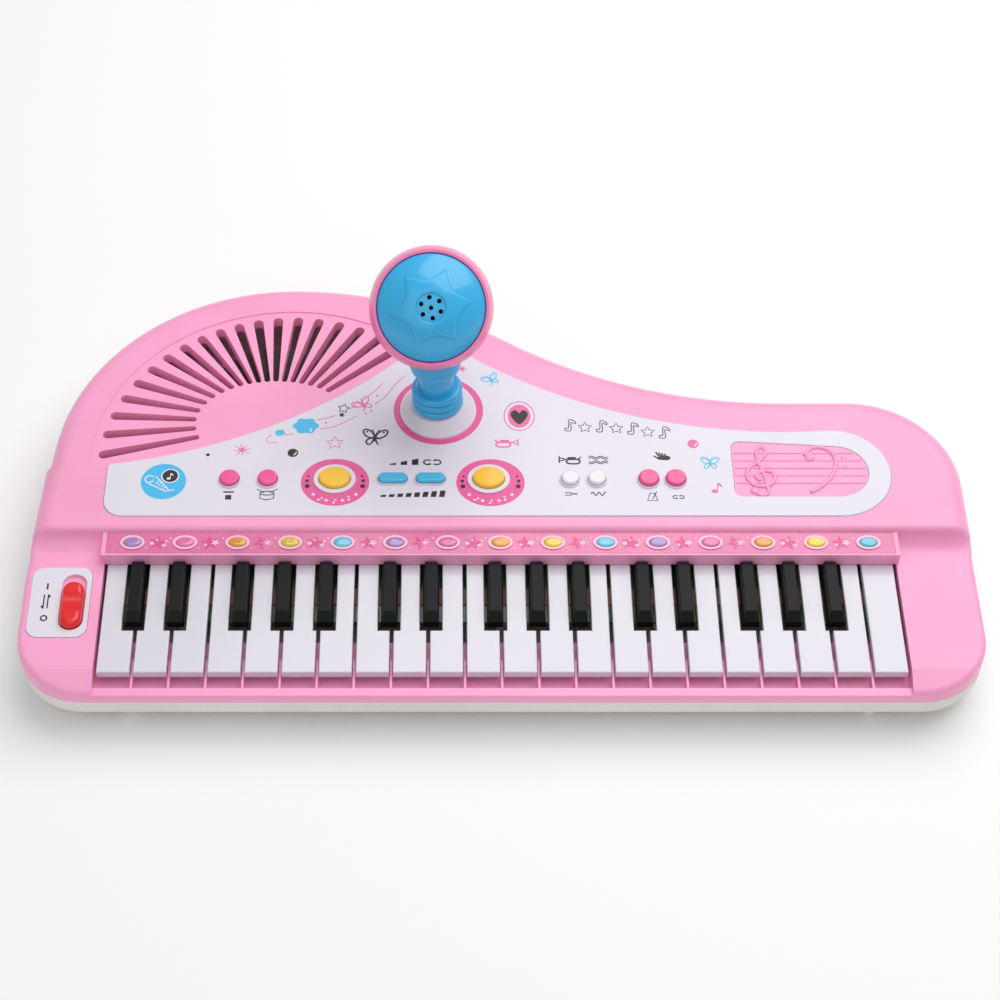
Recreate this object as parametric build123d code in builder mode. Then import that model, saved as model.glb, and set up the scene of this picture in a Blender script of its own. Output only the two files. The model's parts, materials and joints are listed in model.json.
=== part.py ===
from build123d import *
import math
import os

os.makedirs("parts", exist_ok=True)

# Toy electronic keyboard with 37 keys and a microphone, in millimetres.
# Origin: centre of the footprint, on the surface that the feet stand on.
# +X runs towards the high keys, +Y away from the player, +Z up.

# ---------------------------------------------------------------- driving dimensions

# Case outline, seen from above
case_width = 433.0
case_depth = 237.0
front_corner_r = 30.0
tail_depth = 163.0          # front edge to the back of the low right-hand end
tail_r = 50.0
waist_r = 230.0             # hollow curve between the tail and the crown
waist_x = 135.0             # where the hollow curve starts
bulge_r = 110.5             # round left end
bulge_inset = 6.0           # bulge stands in from the front block's side
shoulder_y = 60.0           # the left side starts to lean in here
block_y = 120.0             # the front block ends here
block_step = 3.5            # how far the block's side has leaned in there

shoulder_r = 9.0            # rounding of the deck's edge
cheek_r = 3.0               # rounding of the cheeks' edge
side_blend_r = 150.0        # where the left side starts to lean

# Heights above the table
foot_height = 5.5
lip_z = 15.5                # the tray's rounded bottom edge ends here
seam_z = 20.0
rail_z = 25.4
cheek_z = 30.4
shelf_z = 36.9
deck_z = 39.4

# Walls and clearances
tongue_width = 1.4
wall = 2.2
tray_floor = 2.4
lap = 1.5                   # how far the tray's tongue reaches into the upper case
lap_clearance = 0.2
slide_clearance = 0.25      # button in its hole, on each side
seat_clearance = 0.15       # panel in its pocket, on each side
hinge_clearance = 0.08      # radial, key pivot in its saddle

# Keys
white_count = 22
key_pitch = 16.4
key_gap = 1.8
key_top_z = 29.4
key_skin = 1.5
key_front = 9.9             # distances from the front edge of the case
notch_start = 32.5
notch_width = 10.2
black_front = 37.0
black_slope = 3.5
black_width = 7.2
black_top_width = 5.4
black_rise = 4.0            # black key tops above white key tops
key_visible_end = 69.0
key_height = 4.0
pivot_y = 88.0
pivot_r = 2.2
pivot_z = 26.6
saddle_grip = 0.7           # how far the saddle rises round the pivots
key_wall = 1.3
key_edge_r = 0.5
bed_margin = 1.4            # end keys to the cheeks
keeper_gap = 0.3            # keys' ends to the rib above them
# black keys' offset from each gap between white keys, from C upwards
black_shift = [-1.2, 1.2, None, -2.6, 0.0, 2.6, None]

# Cheeks at the front edge
nose_z = 26.8
nose_run = 11.0

# Front rail and key well
rail_depth = 4.1
rib_end = 19.0
rib_width = 1.1
well_end = 31.0
well_floor = 1.6

# Indicator shelf
shelf_front = key_visible_end
shelf_back = 82.0
strip_thickness = 1.2
strip_margin = 1.0
shelf_end = 1.0             # how far the shelf reaches past the key bed
lens_count = 15
lens_pitch = 24.0
lens_length = 10.0
lens_width = 7.0
lens_rise = 0.4
crease_y = 82.5
shelf_foot = 30.0           # underside of the shelf's front wall
slope_run = 7.0

# Control panel
panel_thickness = 1.6
panel_rise = 0.6            # above the deck
panel_front = 89.5
panel_left = -183.0
panel_end_x = 157.0
panel_waist_gap = 23.0      # panel's hollow edge to the case's hollow edge
panel_curve_r = 250.0
panel_curve_x = -219.3      # centre of the panel's upper left curve
panel_curve_y = 367.5
panel_tip_r = 14.0
panel_corner_r = 9.0
panel_edge_r = 0.5
panel_small_r = 2.5

# Microphone
mic_x = -28.7
mic_y = 153.5
mic_lean_x = -2.8           # over the height of the stem
mic_lean_y = 3.5
mic_head_z = 107.0
mic_tilt = 43.3             # head's axis from straight up, towards the player
mic_head_r = 28.4
mic_cap_r = 24.6
mic_boss_r = 18.0
mic_boss_rise = 5.0
boss_edge = 0.8             # upright edge of the boss, below its cone
boss_spare = 1.2            # cone's height that is trimmed square to the stem
stem_ring_r = 12.0
stem_ring_pitch = 4.0
stem_neck_r = 8.3
stem_spigot_r = 6.5
stem_neck_length = 13.0
spigot_depth = 12.0
seat_gap = 0.1              # stem's lowest ring above the boss
shell_wall = 1.8
cap_gap = 0.3
cap_rim = 1.2               # shell's flat rim round the cap
cap_seat = 3.0
cap_rise = 11.0
cap_half_angle = 0.4        # radians, to a point half way down the dome
voice_hole_r = 1.05
voice_ring_r = 4.7
voice_start = 99            # first hole of the ring, in degrees

# Badge: a window in the panel with a raised pink pad in it
badge_left = 113.0
badge_right = 157.2
badge_low = 105.0
badge_high = 130.0
badge_mid = 116.0
badge_corner_r = 4.0
badge_end_r = 15.0
badge_drop = 0.5            # pad's face below the panel's face
staff_lines = 5
staff_pitch = 4.5
staff_shift = 2.2           # staff's middle behind the badge's
staff_width = 0.8
staff_rise = 0.35

# Speaker and grille
slot_count = 19
slot_first = 194.0          # degrees, about the fan's centre
slot_step = -8.6
slot_tip_r = 88.0
slot_width_out = 4.8
slot_width_in = 2.8
fan_inner_x = 37.0
fan_inner_y = 26.0
fan_dx = -6.5               # fan's centre from the bulge's centre
fan_dy = 20.0
plate_r = 91.5
plate_depth = 0.5
speaker_r = 33.0
speaker_depth = 15.0
speaker_dy = 21.0           # speaker's centre behind the fan's centre
seat_height = 1.0           # ring below the ribs that the speaker is glued to
rib_depth = 4.0             # deep walls round the slots
rib_wall = 1.0
magnet_r = 16.0

# Circuit boards and rubber contacts
board_thickness = 1.6
board_top = 20.2
board_start = 43.6
board_end = 82.0
contact_y = 57.5
contact_width = 9.0
contact_base = 0.7
dome_r = 2.6
dome_top = 23.2
plunger_r = 1.5
plunger_end = 24.8

# Power switch, placed from the bed's left edge
plate_to_bed = 18.2
switch_y = 47.15
switch_plate_width = 27.1
switch_plate_length = 38.7
switch_plate_rise = 0.4
switch_plate_r = 5.5
switch_dx = 5.9             # knob's line from the plate's centre
knob_width = 9.9
knob_side_gap = 0.65
knob_length = 25.0
knob_rise = 3.6
knob_round = 2.6
dent_r = 16.0
dent_depth = 1.0
knob_travel = 5.0
knob_end_gap = 0.5
knob_stem_width = 4.0
knob_stem_length = 8.0

# Battery bay, in the tray
bay_x = 62.0
bay_y = 128.0
bay_width = 64.0
bay_length = 58.0
bay_height = 17.0
cover_thickness = 2.0
cover_gap = 0.3
cover_headroom = 0.4        # recess above the shut cover, for its edge to swing in
cover_ledge = 2.0
cover_pin_r = 0.8
cover_pin_y = 1.5
cover_pin_reach = 1.2

# Feet and screws
foot_x = 165.8
foot_r = 3.3
foot_front = 9.5
foot_back = 146.0
screw_r = 1.3
screw_head_r = 2.6
screw_head = 1.8
screw_length = 14.0
post_r = 3.6
screw_clearance = 0.05
screw_inset = 14.5          # rear screws to the case's edge

# Buttons
button_y = 110.8
button_rise = 2.6
button_travel = 1.2
button_skirt = 1.2
button_round = 1.1
button_drop = 2.6           # panel's underside to the button board
board_margin = 4.0
skirt_height = 1.0
skirt_gap = 0.05
collar_rise = 0.8
# name: x, shape, length, width, collar width
buttons = {
    "stop_button": (-125.5, "oval", 9.1, 9.1, 0.8),
    "rhythm_button": (-107.7, "oval", 9.1, 9.1, 0.8),
    "demo_one_button": (-76.6, "oval", 14.8, 12.2, 2.4),
    "volume_down_button": (-49.6, "pill", 13.6, 5.5, 0.7),
    "volume_up_button": (-32.0, "pill", 13.6, 5.5, 0.7),
    "demo_all_button": (-5.0, "oval", 14.8, 12.2, 2.4),
    "tone_button": (32.8, "oval", 8.2, 8.2, 0.8),
    "effect_button": (45.3, "oval", 8.2, 8.2, 0.8),
    "tempo_down_button": (69.4, "oval", 9.4, 9.4, 0.8),
    "tempo_up_button": (82.0, "oval", 9.4, 9.4, 0.8),
}

# ---------------------------------------------------------------- worked-out places

half = case_width / 2
front = -case_depth / 2
back = case_depth / 2

crown_x = -half + bulge_inset + bulge_r
bulge_y = back - bulge_r
tail_y = front + tail_depth - tail_r
waist_y = front + tail_depth + waist_r
waist_dx = waist_x - crown_x
waist_dy = waist_y - back
crown_r = (waist_dx**2 + waist_dy**2 - waist_r**2) / (2 * (waist_r - waist_dy))
crown_y = back - crown_r
waist_angle = math.degrees(math.atan2(crown_y - waist_y, crown_x - waist_x)) % 360

lean_start = (-half, front + shoulder_y)
lean_slope = block_step / (block_y - shoulder_y)
lean_top = (-half + lean_slope * (case_depth - shoulder_y), back)
lean_span = math.hypot(lean_start[0] - crown_x, lean_start[1] - bulge_y)
lean_bearing = math.degrees(math.atan2(lean_start[1] - bulge_y, lean_start[0] - crown_x)) % 360
lean_touch = lean_bearing - math.degrees(math.acos(bulge_r / lean_span))

crease = front + crease_y
bed_half = (white_count * key_pitch - key_gap) / 2 + bed_margin
well_z = seam_z + well_floor
shelf_y = front + shelf_front
pivot = front + pivot_y
keeper_z = max(key_top_z, pivot_z + pivot_r) + keeper_gap
deck_under = deck_z - wall
speaker_top = deck_under - rib_depth - seat_height
fan_x = crown_x + fan_dx
fan_y = bulge_y + fan_dy

# the panel's round right end touches its front edge and its hollow edge
end_dx = panel_end_x - waist_x
end_dy = waist_y - front - panel_front
hollow_r = waist_r + panel_waist_gap
panel_end_r = (end_dx**2 + end_dy**2 - hollow_r**2) / (2 * (hollow_r + end_dy))
panel_end_lean = end_dx / (hollow_r + panel_end_r)


def case_sketch(square_left):
    """Outline of the case; square_left gives the front block's straight leaning side."""
    with BuildSketch() as outline:
        with BuildLine():
            CenterArc((-half + front_corner_r, front + front_corner_r), front_corner_r, 180, 90)
            Line((-half + front_corner_r, front), (half - front_corner_r, front))
            CenterArc((half - front_corner_r, front + front_corner_r), front_corner_r, 270, 90)
            Line((half, front + front_corner_r), (half, tail_y))
            CenterArc((half - tail_r, tail_y), tail_r, 0, 90)
            Line((half - tail_r, front + tail_depth), (waist_x, front + tail_depth))
            CenterArc((waist_x, waist_y), waist_r, 270, waist_angle - 270)
            CenterArc((crown_x, crown_y), crown_r, waist_angle - 180, 270 - waist_angle)
            if square_left:
                Polyline((crown_x, back), lean_top, lean_start)
            else:
                bulge = CenterArc((crown_x, bulge_y), bulge_r, 90, lean_touch - 90)
                Line(bulge @ 1, lean_start)
            Line(lean_start, (-half, front + front_corner_r))
        make_face()
        corner = outline.vertices().sort_by_distance(lean_start)[0]
        fillet(corner, side_blend_r)
        if square_left:
            corner = outline.vertices().sort_by_distance(lean_top)[0]
            fillet(corner, bulge_r / 2)
    return outline.sketch


def shell_block(outline):
    """Solid outside of the upper case: deck, slope, cheeks and rounded edges."""
    with BuildPart() as block:
        with BuildSketch(Plane.XY.offset(seam_z)):
            add(outline)
        extrude(amount=deck_z - seam_z)
        with BuildSketch(Plane.YZ):
            with BuildLine():
                Polyline(
                    (crease, deck_z),
                    (crease, deck_z + 1),
                    (front - 1, deck_z + 1),
                    (front - 1, nose_z),
                    (front, nose_z),
                    (front + nose_run, cheek_z),
                    (crease - slope_run, cheek_z),
                )
                ThreePointArc(
                    (crease - slope_run, cheek_z),
                    (crease - 0.3 * slope_run, cheek_z + 0.34 * (deck_z - cheek_z)),
                    (crease, deck_z),
                )
            make_face()
        extrude(amount=half + 1, both=True, mode=Mode.SUBTRACT)
        deck_edges = block.edges().filter_by(lambda e: abs(e.center().Z - deck_z) < 0.01)
        fillet(deck_edges.filter_by(lambda e: e.center().Y > crease + 1), shoulder_r)
        side_edges = block.edges().filter_by(lambda e: e.bounding_box().min.Z > nose_z - 0.01)
        side_edges = side_edges.filter_by(lambda e: e.center().Y < crease - 0.01)
        side_edges = side_edges.filter_by(lambda e: e.bounding_box().size.X < case_width / 2)
        side_edges = side_edges.filter_by(lambda e: e.center().Z > nose_z + 0.01)
        fillet(side_edges, cheek_r)
    return block.part


# ---------------------------------------------------------------- shared profiles

panel_top = deck_z + panel_rise
panel_seat = panel_top - panel_thickness
button_line = front + button_y
window_half = max(size[3] for size in buttons.values()) / 2 + button_skirt + 1.5
window_left = min(size[0] - size[2] / 2 for size in buttons.values()) - button_skirt - 1.5
window_right = max(size[0] + size[2] / 2 for size in buttons.values()) + button_skirt + 1.5
plain_outline = case_sketch(False)
block_plane = Plane(origin=(0, front + block_y, 0), z_dir=(0, 1, 0))

boss_top = panel_top + mic_boss_rise
mic_axis = Vector(mic_lean_x, mic_lean_y, mic_head_z - boss_top)
mic_reach = mic_axis.length
mic_plane = Plane(origin=(mic_x, front + mic_y, boss_top), x_dir=(1, 0, 0), z_dir=mic_axis)
mic_section = Plane(origin=mic_plane.origin, x_dir=mic_plane.x_dir, z_dir=-mic_plane.y_dir)
head_centre = mic_plane.origin + mic_plane.z_dir * mic_reach
head_plane = Plane(origin=head_centre, x_dir=(1, 0, 0), z_dir=Vector(0, 0, 1).rotate(Axis.X, mic_tilt))
head_section = Plane(origin=head_centre, x_dir=(1, 0, 0), z_dir=-head_plane.y_dir)

plate_x = -bed_half - plate_to_bed
knob_x = plate_x + switch_dx
plate_y = front + switch_y
plate_top = cheek_z + switch_plate_rise
plate_seat = plate_top - panel_thickness
recess_width = knob_width + 2 * knob_side_gap
recess_length = knob_length + knob_travel + 2 * knob_end_gap

screw_seat = foot_height + 6.0
post_foot = seam_z - 4.0
crown_screws = []
for angle in (172, 120, 60):
    reach = bulge_r - screw_inset
    place = Vector(crown_x, bulge_y) + Vector(reach, 0).rotate(Axis.Z, angle)
    crown_screws.append((place.X, place.Y))
cheek_screw_x = bed_half + wall + 13.0
cheek_screws = [
    (-cheek_screw_x, front + 19.0),
    (cheek_screw_x, front + 19.0),
    (-cheek_screw_x, front + 73.0),
    (cheek_screw_x, front + 73.0),
]
deck_screws = crown_screws + [
    (2.0, front + tail_depth + 23.0),
    (108.0, front + tail_depth - screw_inset),
    (half - 27.0, front + tail_depth - 25.0),
]
screw_places = cheek_screws + deck_screws


def panel_sketch(grow):
    """Outline of the control panel, or of its seat: a round right end and two hollow curves."""
    low = front + panel_front - grow
    left = panel_left - grow
    right = panel_end_x - (panel_end_r + grow) * panel_end_lean
    with BuildSketch() as outline:
        with BuildLine():
            Polyline(
                (right, low),
                (left, low),
                (left, back + panel_curve_r),
                (right, back + panel_curve_r),
                (right, low),
            )
        make_face()
        with Locations((panel_end_x, low + grow + panel_end_r)):
            Circle(panel_end_r + grow)
        with Locations((waist_x, waist_y)):
            Circle(hollow_r - grow, mode=Mode.SUBTRACT)
        with Locations((panel_curve_x, front + panel_curve_y)):
            Circle(panel_curve_r - grow, mode=Mode.SUBTRACT)
        scraps = outline.faces().sort_by(Axis.Y)[1:]
        add(scraps, mode=Mode.SUBTRACT)
        tip = outline.vertices().sort_by(Axis.Y)[-1]
        fillet(tip, panel_tip_r)
        corner = outline.vertices().sort_by_distance((left, low))[0]
        fillet(corner, panel_corner_r + grow)
        corner = outline.vertices().sort_by_distance((left, front + block_y))[0]
        fillet(corner, panel_small_r + grow)
    return outline.sketch


def badge_sketch(gap):
    """Badge window, or its pad when the gap is negative."""
    with BuildSketch() as badge:
        with Locations((badge_left, front + badge_low), (badge_left, front + badge_high)):
            Circle(badge_corner_r + gap)
        with Locations((badge_right, front + badge_mid)):
            Circle(badge_end_r + gap)
        make_hull()
    return badge.sketch


def button_sketch(name, grow):
    """A button's plan shape, grown on every side."""
    x, shape, length, width, _ = buttons[name]
    with BuildSketch() as plan:
        with Locations((x, button_line)):
            if shape == "pill":
                SlotOverall(length + 2 * grow, width + 2 * grow)
            else:
                Ellipse(length / 2 + grow, width / 2 + grow)
    return plan.sketch


def slot_sketch(angle, grow):
    """One tapered grille slot along a ray of the fan, grown on every side."""
    ray = Vector(math.cos(math.radians(angle)), math.sin(math.radians(angle)))
    shift = Vector(fan_dx, fan_dy)
    along = shift.dot(ray)
    tip = -along + math.sqrt(along**2 - shift.length**2 + slot_tip_r**2) - slot_width_out / 2
    root = 1 / math.hypot(ray.X / fan_inner_x, ray.Y / fan_inner_y) + slot_width_in / 2
    centre = Vector(fan_x, fan_y)
    with BuildSketch() as slot:
        with Locations(centre + ray * root):
            Circle(slot_width_in / 2 + grow)
        with Locations(centre + ray * tip):
            Circle(slot_width_out / 2 + grow)
        make_hull()
    return slot.sketch


def white_key_span(index):
    """Front and rear x limits of a white key, and its notches."""
    left = -(white_count * key_pitch - key_gap) / 2 + index * key_pitch
    right = left + key_pitch - key_gap
    rear_left = left
    rear_right = right
    if index > 0 and black_shift[(index - 1) % 7] is not None:
        rear_left = left - key_gap / 2 + black_shift[(index - 1) % 7] + notch_width / 2
    if index < white_count - 1 and black_shift[index % 7] is not None:
        rear_right = right + key_gap / 2 + black_shift[index % 7] - notch_width / 2
    return left, right, rear_left, rear_right


# ---------------------------------------------------------------- upper case

with BuildPart() as rear_half:
    add(shell_block(plain_outline))
    split(bisect_by=block_plane, keep=Keep.TOP)

with BuildPart() as rear_hollow:
    with BuildSketch(Plane.XY.offset(seam_z)):
        add(plain_outline)
        offset(amount=-wall)
        with Locations((0, crease + wall)):
            Rectangle(2 * case_width, 2 * case_depth, align=(Align.CENTER, Align.MIN), mode=Mode.INTERSECT)
    extrude(amount=deck_under - seam_z)
    ceiling = rear_hollow.faces().sort_by(Axis.Z)[-1].edges()
    fillet(ceiling.filter_by(lambda e: e.center().Y > crease + wall + 0.01), shoulder_r - wall)

with BuildPart() as upper_case:
    add(shell_block(case_sketch(True)))
    split(bisect_by=block_plane, keep=Keep.BOTTOM)
    add(rear_half.part)
    add(rear_hollow.part, mode=Mode.SUBTRACT)
    # hollows under the two cheeks
    with BuildSketch(Plane.XY.offset(seam_z)):
        add(plain_outline)
        offset(amount=-wall)
        with Locations((0, front + nose_run + wall)):
            Rectangle(
                2 * case_width,
                crease_y - nose_run,
                align=(Align.CENTER, Align.MIN),
                mode=Mode.INTERSECT,
            )
        Rectangle(2 * (bed_half + wall), 2 * case_depth, mode=Mode.SUBTRACT)
    extrude(amount=cheek_z - wall - seam_z, mode=Mode.SUBTRACT)
    # indicator shelf
    with BuildSketch(Plane.XY.offset(shelf_foot)):
        with Locations((0, shelf_y)):
            Rectangle(
                2 * (bed_half + shelf_end),
                crease_y - shelf_front,
                align=(Align.CENTER, Align.MIN),
            )
    extrude(amount=shelf_z - shelf_foot)
    # key bed: open to the front rail's top, with the well's floor at the front
    with BuildSketch(Plane.XY.offset(well_z)):
        with Locations((0, front + rail_depth)):
            Rectangle(2 * bed_half, shelf_front - rail_depth, align=(Align.CENTER, Align.MIN))
    extrude(amount=deck_z - well_z + 1, mode=Mode.SUBTRACT)
    with BuildSketch(Plane.XY.offset(rail_z)):
        with Locations((0, front + rail_depth)):
            Rectangle(2 * bed_half, rail_depth + 1, align=(Align.CENTER, Align.MAX))
    extrude(amount=deck_z - rail_z, mode=Mode.SUBTRACT)
    with BuildSketch(Plane.XY.offset(seam_z)):
        with Locations((0, front + well_end)):
            Rectangle(2 * bed_half, crease_y + wall - well_end, align=(Align.CENTER, Align.MIN))
    extrude(amount=shelf_foot - seam_z, mode=Mode.SUBTRACT)
    with BuildSketch(Plane.XY.offset(shelf_foot)):
        with Locations((0, shelf_y + wall)):
            Rectangle(2 * bed_half, crease_y - shelf_front, align=(Align.CENTER, Align.MIN))
    extrude(amount=shelf_z - strip_thickness - wall / 2 - shelf_foot, mode=Mode.SUBTRACT)
    with BuildSketch(Plane.XY.offset(shelf_z)):
        with Locations((0, shelf_y)):
            Rectangle(2 * bed_half, shelf_back - shelf_front, align=(Align.CENTER, Align.MIN))
    extrude(amount=deck_z - shelf_z + 1, mode=Mode.SUBTRACT)
    with BuildSketch(Plane.XY.offset(shelf_z - strip_thickness)):
        with Locations((0, shelf_y + strip_margin)):
            Rectangle(
                2 * (bed_half - strip_margin),
                shelf_back - shelf_front - strip_margin,
                align=(Align.CENTER, Align.MIN),
            )
    extrude(amount=strip_thickness, mode=Mode.SUBTRACT)
    # guide ribs between the white keys
    with BuildSketch(Plane.XY.offset(well_z)):
        with Locations((0, front + (rail_depth + rib_end) / 2)):
            with GridLocations(key_pitch, 1, white_count - 1, 1):
                Rectangle(rib_width, rib_end - rail_depth)
    extrude(amount=rail_z - well_z)
    # sunken grille plate
    with BuildSketch(Plane.XY.offset(deck_z - plate_depth)):
        with Locations((crown_x, bulge_y)):
            Circle(plate_r)
        with Locations((crown_x, front + block_y)):
            Rectangle(3 * plate_r, 3 * plate_r, align=(Align.CENTER, Align.MIN), mode=Mode.INTERSECT)
    extrude(amount=plate_depth + 1, mode=Mode.SUBTRACT)
    # walls round the grille's slots, the speaker's seat and the slots themselves
    with BuildSketch(Plane.XY.offset(deck_under - rib_depth)):
        for index in range(slot_count):
            add(slot_sketch(slot_first + slot_step * index, rib_wall))
    extrude(amount=rib_depth)
    with BuildSketch(Plane.XY.offset(speaker_top)):
        with Locations((fan_x, fan_y + speaker_dy)):
            Circle(speaker_r + wall)
            Circle(speaker_r - wall, mode=Mode.SUBTRACT)
    extrude(amount=deck_under - speaker_top)
    with BuildSketch(Plane.XY.offset(speaker_top)):
        for index in range(slot_count):
            add(slot_sketch(slot_first + slot_step * index, 0))
    extrude(amount=deck_z - speaker_top, mode=Mode.SUBTRACT)
    # the panel's seat and the buttons' window
    with BuildSketch(Plane.XY.offset(panel_seat)):
        add(panel_sketch(seat_clearance))
    extrude(amount=panel_thickness, mode=Mode.SUBTRACT)
    with BuildSketch(Plane.XY.offset(deck_under)):
        with Locations(((window_left + window_right) / 2, button_line)):
            Rectangle(window_right - window_left, 2 * window_half)
    extrude(amount=wall, mode=Mode.SUBTRACT)
    # badge pad with its raised staff lines
    with BuildSketch(Plane.XY.offset(panel_seat)):
        add(badge_sketch(-seat_clearance))
    extrude(amount=panel_thickness - badge_drop)
    with BuildSketch(Plane.XY.offset(panel_top - badge_drop)):
        with Locations(((badge_left + badge_right) / 2, front + badge_mid + staff_shift)):
            with GridLocations(1, staff_pitch, 1, staff_lines):
                Rectangle(2 * badge_end_r + badge_right - badge_left, staff_width)
        add(badge_sketch(-staff_width - seat_clearance), mode=Mode.INTERSECT)
    extrude(amount=staff_rise)
    # microphone hole
    with BuildSketch(mic_plane):
        Circle(stem_spigot_r + slide_clearance)
    extrude(amount=-(boss_top - deck_under + 3), mode=Mode.SUBTRACT)
    # switch plate's seat and the knob's slot
    with BuildSketch(Plane.XY.offset(plate_seat)):
        with Locations((plate_x, plate_y)):
            RectangleRounded(
                switch_plate_width + 2 * seat_clearance,
                switch_plate_length + 2 * seat_clearance,
                switch_plate_r,
            )
    extrude(amount=panel_thickness, mode=Mode.SUBTRACT)
    with BuildSketch(Plane.XY.offset(cheek_z - wall)):
        with Locations((knob_x, plate_y)):
            Rectangle(
                knob_stem_width + 2 * slide_clearance,
                knob_stem_length + knob_travel + 2 * slide_clearance,
            )
    extrude(amount=wall, mode=Mode.SUBTRACT)
    # rib that keeps the key pivots down
    with BuildSketch(Plane.XY.offset(keeper_z)):
        with Locations((0, pivot)):
            Rectangle(2 * (bed_half + wall), wall)
    extrude(amount=deck_under - keeper_z)
    # screw posts
    with BuildSketch(Plane.XY.offset(post_foot)):
        with Locations(cheek_screws):
            Circle(post_r)
    extrude(amount=cheek_z - wall - post_foot)
    with BuildSketch(Plane.XY.offset(post_foot)):
        with Locations(deck_screws):
            Circle(post_r)
    extrude(amount=deck_under - post_foot)
    with BuildSketch(Plane.XY.offset(post_foot)):
        with Locations(screw_places):
            Circle(screw_r + screw_clearance)
    extrude(amount=screw_length - (post_foot - screw_seat) + 0.5, mode=Mode.SUBTRACT)

upper_case.part.label = "upper_case"
export_step(upper_case.part, "parts/upper_case.step")

# ---------------------------------------------------------------- lower case

bay_mid = front + bay_y
bay_foot = bay_mid - bay_length / 2
tray_z = foot_height + tray_floor
saddle_top = pivot_z - pivot_r + saddle_grip
foot_places = [
    (-foot_x, front + foot_front),
    (foot_x, front + foot_front),
    (foot_x, front + foot_back),
    (crown_x + 92 * math.cos(math.radians(110)), bulge_y + 92 * math.sin(math.radians(110))),
]

with BuildPart() as tray_hollow:
    with BuildSketch(Plane.XY.offset(tray_z)):
        add(plain_outline)
        offset(amount=-wall)
    extrude(amount=seam_z - tray_z + lap + 1)
    fillet(tray_hollow.faces().sort_by(Axis.Z)[0].edges(), lip_z - foot_height - wall)

with BuildPart() as tongue:
    with BuildSketch(Plane.XY.offset(seam_z - 3)):
        add(plain_outline)
        offset(amount=-wall + 0.2)
        with Locations((0, front + nose_run + wall + 1)):
            Rectangle(2 * case_width, 2 * case_depth, align=(Align.CENTER, Align.MIN), mode=Mode.INTERSECT)
    extrude(amount=3)
    with BuildSketch(Plane.XY.offset(seam_z)):
        add(plain_outline)
        offset(amount=-wall - lap_clearance)
        with Locations((0, front + nose_run + wall + 1)):
            Rectangle(2 * case_width, 2 * case_depth, align=(Align.CENTER, Align.MIN), mode=Mode.INTERSECT)
    extrude(amount=lap)
    with BuildSketch(Plane.XY.offset(seam_z - 3)):
        add(plain_outline)
        offset(amount=-wall - lap_clearance - tongue_width)
    extrude(amount=3 + lap, mode=Mode.SUBTRACT)

with BuildPart() as lower_case:
    with BuildSketch(Plane.XY.offset(foot_height)):
        add(plain_outline)
    extrude(amount=seam_z - foot_height)
    fillet(lower_case.faces().sort_by(Axis.Z)[0].edges(), lip_z - foot_height)
    add(tray_hollow.part, mode=Mode.SUBTRACT)
    add(tongue.part)
    # moulded feet
    with BuildSketch(Plane.XY):
        with Locations(foot_places):
            Circle(foot_r)
    extrude(amount=tray_z)
    # screw bosses
    with BuildSketch(Plane.XY.offset(foot_height + 1)):
        with Locations(screw_places):
            Circle(post_r + 1)
    extrude(amount=post_foot - foot_height - 1)
    with BuildSketch(Plane.XY.offset(foot_height - 1)):
        with Locations(screw_places):
            Circle(screw_head_r + slide_clearance)
    extrude(amount=screw_seat - foot_height + 1, mode=Mode.SUBTRACT)
    with BuildSketch(Plane.XY.offset(foot_height)):
        with Locations(screw_places):
            Circle(screw_r + slide_clearance)
    extrude(amount=post_foot - foot_height, mode=Mode.SUBTRACT)
    # saddle that the key pivots rest in
    with BuildSketch(Plane.XY.offset(foot_height + 1)):
        with Locations((0, pivot)):
            Rectangle(2 * bed_half, 2 * pivot_r)
    extrude(amount=saddle_top - foot_height - 1)
    with BuildSketch(Plane.YZ):
        with Locations((pivot, pivot_z)):
            Circle(pivot_r + hinge_clearance)
    extrude(amount=bed_half, both=True, mode=Mode.SUBTRACT)
    # posts under the key board
    with BuildSketch(Plane.XY.offset(foot_height + 1)):
        with Locations((0, front + (board_start + board_end) / 2)):
            with GridLocations(2 * bed_half / 5, board_end - board_start - 8, 5, 2):
                Circle(post_r - 1)
    extrude(amount=board_top - board_thickness - foot_height - 1)
    # battery bay: walls and roof, its inside, and the cover's opening
    with BuildSketch(Plane.XY.offset(foot_height + 1)):
        with Locations((bay_x, bay_mid)):
            Rectangle(bay_width + 2 * wall, bay_length + 2 * wall)
    extrude(amount=bay_height + wall)
    with BuildSketch(Plane.XY.offset(foot_height)):
        with Locations((bay_x, bay_foot)):
            Rectangle(
                bay_width - 2 * cover_ledge,
                bay_length - cover_ledge,
                align=(Align.CENTER, Align.MIN),
            )
    extrude(amount=bay_height + 1, mode=Mode.SUBTRACT)
    with BuildSketch(Plane.XY.offset(foot_height)):
        with Locations((bay_x, bay_mid)):
            Rectangle(bay_width, bay_length)
    extrude(amount=cover_thickness + cover_headroom, mode=Mode.SUBTRACT)
    with BuildSketch(Plane.YZ.offset(bay_x)):
        with Locations((bay_foot + cover_pin_y, foot_height + cover_thickness / 2)):
            Circle(cover_pin_r + hinge_clearance)
    extrude(amount=bay_width / 2 + cover_pin_reach + 0.3, both=True, mode=Mode.SUBTRACT)

lower_case.part.label = "lower_case"
export_step(lower_case.part, "parts/lower_case.step")

# ---------------------------------------------------------------- battery cover

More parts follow.
